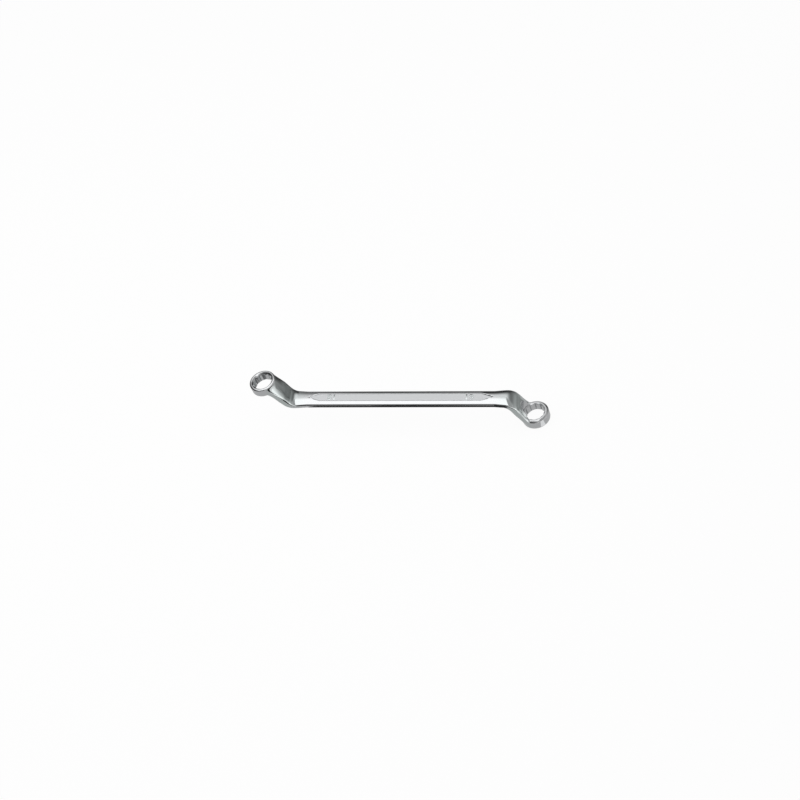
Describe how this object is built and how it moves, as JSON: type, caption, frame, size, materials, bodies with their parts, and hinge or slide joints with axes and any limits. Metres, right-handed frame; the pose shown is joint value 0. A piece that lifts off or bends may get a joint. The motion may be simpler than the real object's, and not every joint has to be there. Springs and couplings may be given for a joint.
{
  "type": "ring spanner",
  "caption": "Double-ended ring spanner: a flat oval handle with a deep-offset ring head on each end, one standing above it and the other hanging below, with a toothed bore through each.",
  "frame": {"origin": "middle of the overall box, on the handle's centre line half way between the heads", "axes": "+X along the handle from the 18 mm head to the 19 mm head, +Y across the handle, +Z square to its broad faces on the side that the 18 mm head stands on"},
  "size_m": [0.31, 0.0296, 0.0674],
  "materials": {
    "satin_chrome": "satin chrome plate, brighter on the handle's edges, matt in the sunk panels"
  },
  "bodies": {
    "root": {"spanner_body": "satin_chrome"}
  },
  "joints": []
}
